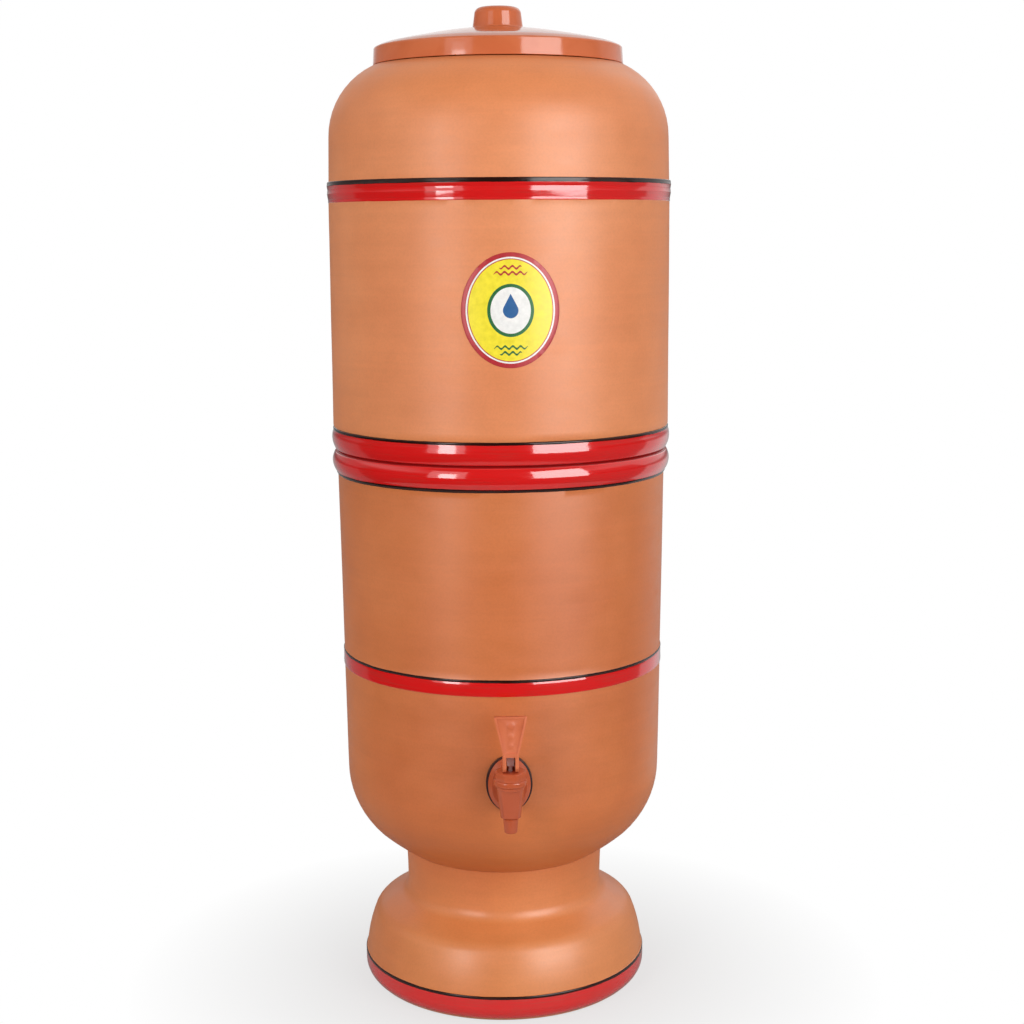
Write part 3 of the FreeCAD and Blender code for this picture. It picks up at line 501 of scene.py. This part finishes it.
def rod(name, start, end, radius, material):
    """A closed cylinder between two points, for cutting."""
    start, end = Vector(start) * MM, Vector(end) * MM
    tool = bmesh.new()
    bmesh.ops.create_cone(tool, cap_ends=True, segments=HOLE_AROUND, radius1=radius * MM,
                          radius2=radius * MM, depth=(end - start).length)
    turn = (end - start).to_track_quat("Z", "Y").to_matrix().to_4x4()
    tool.transform(Matrix.Translation((start + end) / 2) @ turn)
    mesh = bpy.data.meshes.new(name)
    tool.to_mesh(mesh)
    tool.free()
    return object_of(name, mesh, [material])


def drill(piece, *cutters):
    """Cut closed bodies out of the piece."""
    for cutter in cutters:
        cut = piece.modifiers.new("hole", "BOOLEAN")
        cut.operation = "DIFFERENCE"
        cut.solver = "EXACT"
        cut.object = cutter
    applied(piece)
    for cutter in cutters:
        bpy.data.objects.remove(cutter)


# ---------------------------------------------------------------- clay vessels

# An outline goes once round a section: (distance from the axis, height), with the radius of the
# arc that leads there as a third number. A word names the paint from there on.
LOWER_OUTLINE = [
    # The foot from the ring it stands on: bands, skirt and neck.
    "clay", (79.6, 0), (81.8, 0), (85.0, 2.35, 10.2),
    "red", (88.6, 10.0, 10.2), (88.6, 15.6, 60),
    "black", (88.55, 16.3), (88.2, 17.4, 0.8),
    "clay", (87.75, 17.75), (82.0, 42.0, 82), (76.5, 47.6, 12.4), (66.0, 53.0),
    (61.0, 61.0, -8.9), (61.8, 85.2, -367),
    # The bowl, and the thin raised band.
    (81.4, 99.9, 140), (97.3, 138.2, 54.2), (98.4, 204.2),
    "red", (98.9, 204.7, 0.6), (98.95, 206.2), (98.85, 208.0), (98.85, 211.2), (98.6, 212.4, 4),
    "black", (98.8, 213.1, -0.8), (98.55, 214.1, 0.7),
    # The wall, and the bead round the rim.
    "clay", (98.4, 214.6), (100.0, 322.7),
    "black", (100.35, 323.2), (101.0, 324.7, 2.2),
    "red", (103.2, 330.9, 11.8), (102.0, 335.9, 10.2), (101.35, 336.8, 2.4),
    "groove", (101.0, 337.2, 2.4), (100.2, 337.8), (98.4, 337.8),
    # The inside of the vessel, down to its floor.
    "clay", (92.6, 337.8), (91.1, 336.3, 1.5), (88.3, 138.2), (74.9617, 106.2383, -45.2),
    (47.4617, 95.0, -38.9), (0, 95.0),
    # The hollow under the foot.
    (0, 85.2), (50.6, 85.2), (52.0, 83.8, -1.4), (52.0, 54.0), (60.0, 45.0, 9.5),
    (71.6, 38.5), (79.6, 26.0, -14),
]

UPPER_OUTLINE = [
    # The underside, with the step that stands in the lower vessel.
    "clay", (0, 330.0), (87.0, 330.0), (89.0, 332.0, 2), (89.0, 337.8), (98.4, 337.8),
    # The bead.
    "groove", (100.2, 337.8), (101.15, 338.4, 1.4),
    "red", (101.85, 339.5, 2.2), (103.25, 344.8, 12.5), (102.45, 349.9, 12.5),
    "black", (102.5, 350.4), (101.9, 351.6, 0.9),
    # The wall, and the raised band with its two steps.
    "clay", (102.4, 352.6), (102.4, 485.2),
    "red", (102.5, 485.4), (102.62, 485.9, 0.6), (102.56, 486.9), (102.66, 487.2, 0.6),
    (103.14, 490.2), (103.12, 490.5, 0.6), (102.9, 492.7), (102.94, 493.0, -0.6), (103.25, 494.9),
    "black", (103.2, 495.3, 0.6), (103.06, 497.0), (102.4, 497.5, 0.6),
    # The shoulder and the mouth.
    "clay", (102.1, 497.6), (101.6, 523.4), (75.4, 564.6, 45.7), (66.0, 565.2),
    (63.0, 562.2, 3), (62.4, 558.3),
    # The inside, down to its floor.
    (91.2, 523.4, -35.5), (93.4, 499.4), (93.4, 356.0), (81.4, 344.0, -12), (0, 344.0),
]

# The hole for the tap, through the wall in front: height, radius, and the two depths that it is
# cut between. The holes for the candles, through the floor on both sides: how far to the side,
# radius, and the two heights that they are cut between.
TAP_HOLE = (153.2, 7.6, -60, -130)
CANDLE_HOLES = (42, 5.8, 300, 380)


def make_vessels():
    # The groove's glaze carries painted shade for the crease between the beads.
    glazes = [("red", RED_GLAZE), ("black", BLACK_GLAZE), ("groove", GROOVE_GLAZE_AND_SHADE)]
    lower = lathe("clay_bowl_on_foot", LOWER_OUTLINE, [("clay", CLAY_LOWER)] + glazes,
                  turned_by_hand=True)
    height, radius, inside, outside = TAP_HOLE
    drill(lower, rod("tap_hole", (0, inside, height), (0, outside, height), radius, CLAY_LOWER))
    settle(lower, "root", "clay", "lower_vessel", "foot")
    upper = lathe("clay_upper_vessel", UPPER_OUTLINE, [("clay", CLAY_UPPER)] + glazes,
                  turned_by_hand=True)
    aside, radius, below, above = CANDLE_HOLES
    drill(upper, *[rod(f"candle_hole_{side}", (side * aside, 0, below), (side * aside, 0, above),
                       radius, CLAY_UPPER) for side in (-1, 1)])
    settle(upper, "upper", "clay", "upper_vessel")


# ---------------------------------------------------------------- badge

# The badge: height of its middle, half its width and height, how far round from the tap it
# sits, the radii of its back and front on the round wall, and how much lower its edge is. It has
# this many corners round it, and rings of them no further apart than the gap.
BADGE_MIDDLE = 425.0
BADGE_HALF = (27.3, 31.85)
BADGE_TURN = math.radians(1.4)
BADGE_BACK = 102.47
BADGE_FRONT = 102.75
BADGE_EDGE = 0.1
BADGE_AROUND = 160
BADGE_GAP = 4

# The badge's fields from the middle outwards, each with its ink: a water drop, by its belly and
# its tip; two ovals, by half their width and height; and the borders, by how far inside the
# badge's edge they end.
DROP = ("blue", 4.3, 9.2)
OVALS = (("white", 11.2, 12.8), ("green", 13.0, 14.6))
BORDERS = (("yellow", 3.9), ("crimson", 3.4), ("white", 2.5), ("crimson", 0.15))

# The ripples: how high above the middle, half their length, and ink. Then their shape: half the
# height and the closeness of the waves, half the line's width, how blunt its ends are, and how
# far it reaches into the badge and stands out of it.
RIPPLES = (
    (23.6, 6.2, "crimson"),
    (20.4, 9.4, "crimson"),
    (-20.4, 9.4, "green"),
    (-23.6, 6.2, "green"),
)
RIPPLE_WAVE = (0.75, 1.45)
RIPPLE_LINE = 0.62
RIPPLE_BLUNT = 0.02
RIPPLE_DEPTH = (-0.05, 0.03)
RIPPLE_STEPS = 64


def on_wall(across, up, radius):
    """A place on the vessel's round wall, from millimetres across and up the badge."""
    depth = math.sqrt(radius ** 2 - across ** 2)
    x = across * math.cos(BADGE_TURN) + depth * math.sin(BADGE_TURN)
    y = across * math.sin(BADGE_TURN) - depth * math.cos(BADGE_TURN)
    z = BADGE_MIDDLE + up
    stand = 1 + hand(x, y, z) / radius
    return (x * stand * MM, y * stand * MM, z * MM)


def oval(half_width, half_height, angle):
    """Distance from the middle to the edge of an upright oval."""
    return 1 / math.hypot(math.cos(angle) / half_width, math.sin(angle) / half_height)


def drop(belly, tip, angle):
    """Distance from the middle to the edge of a drop with a round belly and a tip above it."""
    lean = abs(math.remainder(angle - math.pi / 2, 2 * math.pi))
    return belly / math.cos(max(0.0, math.acos(belly / tip) - lean))


def badge_rings(angles):
    """Rings from the middle of the front over the edge to the back: (ink, reaches, radius)."""
    width, height = BADGE_HALF
    belly_and_tip = DROP[1:]
    ovals = OVALS + tuple((ink, width - inside, height - inside) for ink, inside in BORDERS)
    fields = [(DROP[0], [drop(*belly_and_tip, a) for a in angles])]
    fields += [(ink, [oval(across, up, a) for a in angles]) for ink, across, up in ovals]
    rings = []
    inner = [0.0] * len(angles)
    for ink, outer in fields:
        parts = max(1, math.ceil((max(outer) - max(inner)) / BADGE_GAP))
        for part in range(1, parts + 1):
            share = part / parts
            rings.append((ink, [i + (o - i) * share for i, o in zip(inner, outer)], BADGE_FRONT))
        inner = outer
    rim = [oval(width, height, a) for a in angles]
    rings += [("crimson", rim, BADGE_FRONT - BADGE_EDGE), ("crimson", rim, BADGE_BACK)]
    rings += [("white", [r * share for r in rim], BADGE_BACK) for share in (0.75, 0.5, 0.25)]
    return rings


def make_badge():
    angles = [2 * math.pi * i / BADGE_AROUND for i in range(BADGE_AROUND)]
    inks = list(BADGE_INKS)
    vertices, faces, which = [on_wall(0, 0, BADGE_FRONT)], [], []
    before = [0]
    for ink, reaches, radius in badge_rings(angles):
        row = list(range(len(vertices), len(vertices) + BADGE_AROUND))
        vertices.extend(on_wall(r * math.cos(a), r * math.sin(a), radius)
                        for r, a in zip(reaches, angles))
        faces.extend(faces_between(before, row))
        which.extend([inks.index(ink)] * BADGE_AROUND)
        before = row
    faces.extend(faces_between(before, [len(vertices)]))
    which.extend([inks.index("white")] * BADGE_AROUND)
    vertices.append(on_wall(0, 0, BADGE_BACK))
    mesh = mesh_of("oval_badge", vertices, faces, which)
    badge = object_of("oval_badge", mesh, BADGE_INKS.values())
    settle(badge, "upper", "badge_print", "front_label")
    for index, (up, half, ink) in enumerate(RIPPLES, start=1):
        ripple = make_ripple(f"badge_ripple_{index}", up, half, BADGE_INKS[ink])
        settle(ripple, "upper", "badge_print")


def make_ripple(name, up, half, material):
    """A printed wavy line across the badge, tapered to its ends."""
    rise, closeness = RIPPLE_WAVE
    vertices, faces = [], []
    for i in range(RIPPLE_STEPS + 1):
        across = -half + 2 * half * i / RIPPLE_STEPS
        wave = rise * math.sin(across * closeness)
        taper = RIPPLE_LINE * math.sqrt(max(RIPPLE_BLUNT, 1 - (across / half) ** 4))
        for side in (-taper, taper):
            for out in RIPPLE_DEPTH:
                vertices.append(on_wall(across, up + wave + side, BADGE_FRONT + out))
    for i in range(RIPPLE_STEPS):
        a, b = i * 4, (i + 1) * 4
        for p, q in ((0, 1), (1, 3), (3, 2), (2, 0)):
            faces.append((a + p, a + q, b + q, b + p))
    end = RIPPLE_STEPS * 4
    faces += [(0, 1, 3, 2), (end, end + 2, end + 3, end + 1)]
    return object_of(name, mesh_of(name, vertices, faces), [material])


# ---------------------------------------------------------------- lid

LID_OUTLINE = [
    # The rim, the dome and the knob.
    "lid", (72.5, 565.3), (74.2, 565.3), (74.4, 565.6, 0.3), (73.9, 574.5), (73.0, 575.7, 1.3),
    (67.6, 577.8, 24), (15.7, 586.9, 500), (14.95, 587.7, -0.9), (13.95, 595.2),
    (10.6, 599.0, 3.9), (3.0, 599.35, 90), (2.5, 599.6, 0.5), (0, 599.6),
    # The underside, with the ring that stands in the mouth.
    (0, 597.0), (9.8, 596.8), (12.2, 594.2, -3), (12.8, 585.0), (58.0, 577.6), (58.0, 557.4),
    (58.6, 557.0, 0.6), (59.6, 557.0), (60.2, 557.6, 0.6), (60.2, 577.2), (68.9, 575.2),
    (71.8, 572.9, -3.4),
]


def make_lid():
    lid = lathe("moulded_lid", LID_OUTLINE, [("lid", LID_PLASTIC)])
    settle(lid, "lid", "lid_plastic", "lid", "lid_ring")


# ---------------------------------------------------------------- tap, candles and valves

# On a moulding, corners this close are one, faces within so many degrees are one flat face, and
# edges sharper than so many degrees are rounded off in a few steps.
SAME_CORNER = 0.002
SAME_FACE = 0.6
ROUNDED_EDGE = 30
ROUNDING_STEPS = 3

# The rounding of the soft cup's edges.
CUP_ROUNDING = 0.2

# Mouldings of the tap: node, name, body, material, slot and rounding of the edges.
TAP_PIECES = (
    ("tap_body", "tap_body_moulding", "root", TAP_PLASTIC, "tap_plastic", 0.55),
    ("tap_bonnet", "tap_bonnet_cap", "root", TAP_PLASTIC, "tap_plastic", 0.5),
    ("outer_gasket", "outer_gasket_ring", "root", BLACK_RUBBER, "black_rubber", 0.3),
    ("inner_gasket", "inner_gasket_ring", "root", BLACK_RUBBER, "black_rubber", 0.3),
    ("tap_nut", "tap_nut_hexagon", "root", TAP_PLASTIC, "tap_plastic", 0.5),
    ("tap_handle", "tap_lever", "handle", LEVER_PLASTIC, "tap_plastic", 0.3),
    ("handle_pin", "lever_pin", "handle", STEEL, "steel", 0.15),
    ("tap_stem", "tap_stem_rod", "stem", STEM_PLASTIC, "stem_plastic", 0.25),
)

# Mouldings of each candle and its valve: node, body, material, slot and rounding, where # is the
# candle's number.
CANDLE_PIECES = (
    ("candle_#_base", "upper", CANDLE_PLASTIC, "candle_plastic", 0.5),
    ("candle_#_washer", "upper", BLACK_RUBBER, "black_rubber", 0.4),
    ("candle_#_nut", "upper", CANDLE_PLASTIC, "candle_plastic", 0.5),
    ("valve_#_housing", "upper", VALVE_PLASTIC, "valve_plastic", 0.35),
    ("valve_#_pin", "upper", STEEL, "steel", 0.15),
    ("valve_#_arm", "float_#", VALVE_PLASTIC, "valve_plastic", 0.3),
    ("valve_#_seal", "float_#", BLACK_RUBBER, "black_rubber", 0.1),
    ("valve_#_float", "float_#", FLOAT_PLASTIC, "float_plastic", 0.4),
)


def rounded(node, name, material, width):
    """A moulding with the shape of a CAD node and its edges rounded off."""
    shape = bmesh.new()
    shape.from_mesh(NODES[node].data)
    bmesh.ops.remove_doubles(shape, verts=shape.verts, dist=SAME_CORNER * MM)
    bmesh.ops.dissolve_limit(shape, angle_limit=math.radians(SAME_FACE), verts=shape.verts,
                             edges=shape.edges)
    mesh = bpy.data.meshes.new(name)
    shape.to_mesh(mesh)
    shape.free()
    piece = object_of(name, mesh, [material])
    mesh.polygons.foreach_set("material_index", [0] * len(mesh.polygons))
    bevel = piece.modifiers.new("edges", "BEVEL")
    bevel.width = width * MM
    bevel.segments = ROUNDING_STEPS
    bevel.limit_method = "ANGLE"
    bevel.angle_limit = math.radians(ROUNDED_EDGE)
    bevel.use_clamp_overlap = True
    return applied(piece, MOULDED_CREASE)


def repaint(node, material):
    mesh = NODES[node].data
    mesh.materials.clear()
    mesh.materials.append(material)


def make_tap():
    for node, name, body, material, slot, width in TAP_PIECES:
        settle(rounded(node, name, material, width), body, slot, node)
    make_seat_cup()


def make_seat_cup():
    """The soft cup: it rises with the stem as one piece."""
    cup = rounded("tap_seat_cup", "seat_cup", SILICONE, CUP_ROUNDING)
    settle(cup, "stem", "silicone", "tap_seat_cup")
    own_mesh(cup)


def make_insides():
    for number in ("1", "2"):
        repaint(f"candle_{number}_shell", CANDLE_CERAMIC)
        repaint(f"candle_{number}_carbon", CARBON)
        for node, body, material, slot, width in CANDLE_PIECES:
            node, body = node.replace("#", number), body.replace("#", number)
            settle(rounded(node, f"{node}_piece", material, width), body, slot, node)


# ---------------------------------------------------------------- studio

# The camera stands a little left of the tap, above the middle: its place, its lens and sensor in
# millimetres, and how it is turned down, to the right and about its own axis, in degrees.
CAMERA_PLACE = (-0.0370, -1.0857, 0.4705)
CAMERA_LENS = 62.38
CAMERA_SENSOR = 36.0
CAMERA_TURN = (9.127, 2.3, -0.3734)

# Soft boxes: name, degrees round from the tap towards +X, distance and width, and then panels
# with their lower and upper edges and their strength. Only mirrors see a glint, and they see
# nothing else. A glint stands a little nearer, clear of the light behind it.
SOFT_BOXES = (
    ("right_box", 37.6, 1.6, 1.08, (("light", 0.15, 1.4, 2.35), ("glint", 0.1, 1.36, 4.3))),
    ("left_box", -36.6, 1.6, 0.32, (("light", 0.15, 1.4, 3.5), ("glint", 0.1, 0.86, 4.6))),
    ("left_wide_box", -37.4, 1.7, 0.76, (("light", 0.15, 1.4, 1.0), ("glint", 0.09, 1.36, 0.9))),
)
GLINT_NEARER = 0.02

# A lamp's energy for each square metre of panel and unit of strength.
ENERGY = 4

# The room that mirrors see, in stops of (direction, grey): from the camera's side (-1) to the back
# (1), where what is high up counts as further back; dimmed in a line along the horizon and from
# left to right; and a second grey high up, weaker in the middle than on both sides.
ROOM = ((-1.0, 0.12), (0.2, 0.13), (0.36, 0.17), (0.42, 0.56), (0.97, 0.7), (1.1, 1.7))
CLIMB = 0.9
HORIZON = (0.02, 0.09, 0.35, 1.0)
LEFT_TO_RIGHT = ((-0.7, 0.3), (0.0, 0.6), (0.25, 0.6), (0.6, 1.0))
OVERHEAD = ((0.2, 0.0), (0.35, 0.6), (0.75, 0.6), (1.0, 0.3))
OVERHEAD_ASIDE = (0.65, 0.9, 0.1, 1.0)

# The room's plain light, from below (-1) to above (1), weaker in the middle than on both sides.
PLAIN = ((-1.0, 0.1), (-0.5, 0.12), (0.05, 0.62), (0.35, 0.62), (0.65, 0.36), (1.0, 0.2))
PLAIN_ASIDE = (0.3, 0.9, 0.85, 1.62)

# The floor: radii of its rings, how far it lies under the foot, and, from one distance to
# another, how much plain white the camera sees in place of its own grey.
FLOOR_RINGS = (0.12, 0.2, 0.3, 0.43)
FLOOR_DROP = 0.0005
FLOOR_FADE = (0.09, 0.24, 0.7, 1.0)
FLOOR_AROUND = 96


def make_camera():
    data = bpy.data.cameras.new("camera")
    data.sensor_width = CAMERA_SENSOR
    data.lens = CAMERA_LENS
    camera = bpy.data.objects.new("camera", data)
    bpy.context.scene.collection.objects.link(camera)
    bpy.context.scene.camera = camera
    pitch, heading, roll = [math.radians(angle) for angle in CAMERA_TURN]
    forward = Vector((math.sin(heading) * math.cos(pitch), math.cos(heading) * math.cos(pitch),
                      -math.sin(pitch)))
    right = forward.cross(Vector((0, 0, 1))).normalized()
    up = right.cross(forward)
    turn = Matrix((right, up, -forward)).transposed() @ Matrix.Rotation(roll, 3, "Z")
    camera.matrix_world = Matrix.Translation(CAMERA_PLACE) @ turn.to_4x4()


def make_soft_box(name, azimuth, distance, width, panels):
    """Upright lamp panels that face the vessels' axis, each as bright as its strength."""
    angle = math.radians(azimuth)
    for label, low, high, strength in panels:
        away = distance - GLINT_NEARER if label == "glint" else distance
        place = Vector((math.sin(angle) * away, -math.cos(angle) * away, (low + high) / 2))
        inward = Vector((-place.x, -place.y, 0)).normalized()
        upward = Vector((0, 0, 1))
        data = bpy.data.lights.new(f"{name}_{label}", "AREA")
        data.shape = "RECTANGLE"
        data.size = width
        data.size_y = high - low
        data.energy = strength * ENERGY * width * (high - low)
        lamp = bpy.data.objects.new(data.name, data)
        bpy.context.scene.collection.objects.link(lamp)
        turn = Matrix((inward.cross(upward), upward, -inward)).transposed().to_4x4()
        lamp.matrix_world = Matrix.Translation(place) @ turn
        lamp.visible_diffuse = label == "light"
        lamp.visible_glossy = label == "glint"


def make_world():
    """A room: the camera sees it plain white, mirrors see its greys, all else its plain light."""
    world = bpy.data.worlds.new("studio")
    bpy.context.scene.world = world
    world.use_nodes = True
    world.node_tree.nodes.clear()
    room = Nodes(world.node_tree)

    def graded(value, stops):
        low, high = stops[0][0], stops[-1][0]
        share = room.span(value, low, high, 0.0, 1.0)
        return room.ramp(share, *[((way - low) / (high - low), grey) for way, grey in stops])

    right, back, up = room.split(room.add("ShaderNodeTexCoord").outputs["Generated"])
    path = room.add("ShaderNodeLightPath").outputs
    aside = room.maths("ABSOLUTE", right)
    way = room.maths("MULTIPLY_ADD", room.maths("MAXIMUM", up, 0.0), CLIMB, back)
    level = room.span(room.maths("ABSOLUTE", up), *HORIZON)
    greys = room.maths("MULTIPLY", graded(way, ROOM), level)
    greys = room.maths("MULTIPLY", greys, graded(right, LEFT_TO_RIGHT))
    above = room.maths("MULTIPLY", graded(up, OVERHEAD), room.span(aside, *OVERHEAD_ASIDE))
    greys = room.maths("MAXIMUM", greys, above)
    plain = room.maths("MULTIPLY", graded(up, PLAIN), room.span(aside, *PLAIN_ASIDE))
    mirrored = room.maths("MAXIMUM", path["Is Glossy Ray"], path["Is Transmission Ray"])
    lit = room.add("ShaderNodeBackground")
    room.feed(lit.inputs["Color"], room.mix(mirrored, plain, greys))
    white = room.add("ShaderNodeBackground")
    room.feed(white.inputs["Color"], (1, 1, 1, 1))
    surface = room.blend(path["Is Camera Ray"], lit.outputs[0], white.outputs[0])
    room.feed(room.add("ShaderNodeOutputWorld").inputs["Surface"], surface)


def make_floor():
    """A pale round table top that keeps the shadow and fades into the white around it."""
    vertices, faces, before = [(0, 0, 0)], [], [0]
    for radius in FLOOR_RINGS:
        row = list(range(len(vertices), len(vertices) + FLOOR_AROUND))
        for i in range(FLOOR_AROUND):
            angle = 2 * math.pi * i / FLOOR_AROUND
            vertices.append((radius * math.cos(angle), radius * math.sin(angle), 0))
        faces.extend(faces_between(before, row))
        before = row
    paint = Paint("floor_white", Roughness=0.85)
    cloud = paint.noise((2, 2, 2), detail=2.0)
    paint.colour(paint.ramp(cloud, (0.3, linear("b9b8b6")), (0.7, linear("bdbcbb"))))
    away = paint.filled(paint.add("ShaderNodeVectorMath", operation="LENGTH"), [paint.here])
    fade = paint.span(away.outputs["Value"], *FLOOR_FADE)
    seen = paint.add("ShaderNodeLightPath").outputs["Is Camera Ray"]
    white = paint.add("ShaderNodeEmission").outputs[0]
    faded = paint.blend(paint.maths("MULTIPLY", seen, fade), paint.shader.outputs[0], white)
    paint.feed(paint.tree.nodes["Material Output"].inputs["Surface"], faded)
    floor = object_of("floor", mesh_of("floor", vertices, faces), [paint.material])
    floor.location.z = -FLOOR_DROP


def make_studio():
    for box in SOFT_BOXES:
        make_soft_box(*box)
    make_world()
    make_floor()
    bpy.context.scene.view_settings.view_transform = "Standard"


make_camera()
make_vessels()
make_badge()
make_lid()
make_tap()
make_insides()
make_studio()
